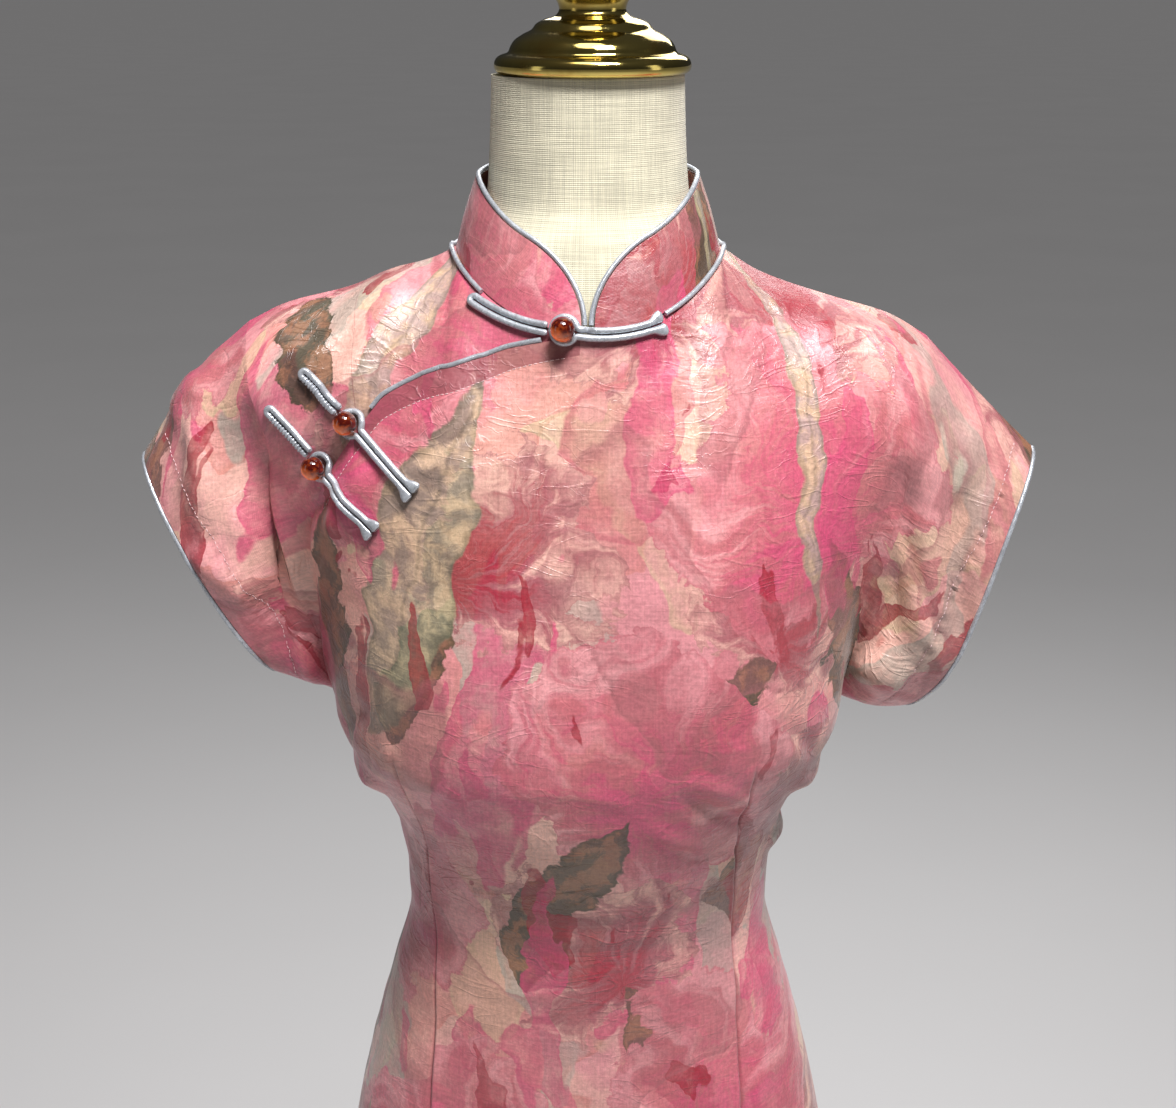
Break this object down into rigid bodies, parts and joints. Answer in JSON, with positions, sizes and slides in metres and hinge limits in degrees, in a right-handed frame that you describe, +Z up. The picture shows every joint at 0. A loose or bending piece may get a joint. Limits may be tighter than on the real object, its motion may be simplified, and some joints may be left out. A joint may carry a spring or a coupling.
{
  "type": "cheongsam dress on dress form",
  "caption": "Short-sleeved cheongsam with a stand collar, a curved flap and knotted loop frogs, worn by a limbless dress form on a round stand.",
  "frame": {"origin": "centre of the stand's flat underside, on the floor", "axes": "+Z up; the front of the dress faces -Y; the wearer's left side is +X"},
  "size_m": [0.5201, 0.3382, 1.6153],
  "materials": {
    "printed_satin": "satin with a watercolour floral print in rose, peach, magenta and grey-green",
    "silver_satin": "smooth silver-grey satin bias cord",
    "amber_bead": "polished red-amber glass bead",
    "cream_linen": "cream plain-weave linen over a stuffed form",
    "polished_brass": "polished, turned",
    "stand_metal": "polished"
  },
  "bodies": {
    "root": {"front_panel": "printed_satin", "back_panel": "printed_satin", "under_flap": "printed_satin", "collar": "printed_satin", "collar_top_piping": "silver_satin", "collar_base_piping": "silver_satin", "flap_piping": "silver_satin", "right_cuff_piping": "silver_satin", "left_cuff_piping": "silver_satin", "frog_upper_button_leg": "silver_satin", "frog_upper_loop_leg": "silver_satin", "frog_upper_bead": "amber_bead", "frog_lower_button_leg": "silver_satin", "frog_lower_loop_leg": "silver_satin", "frog_lower_bead": "amber_bead", "frog_collar_button_leg": "silver_satin", "frog_collar_loop_leg": "silver_satin", "frog_collar_bead": "amber_bead", "dress_form": "cream_linen", "neck_cap": "polished_brass", "pole": "stand_metal", "base": "stand_metal"}
  },
  "joints": []
}
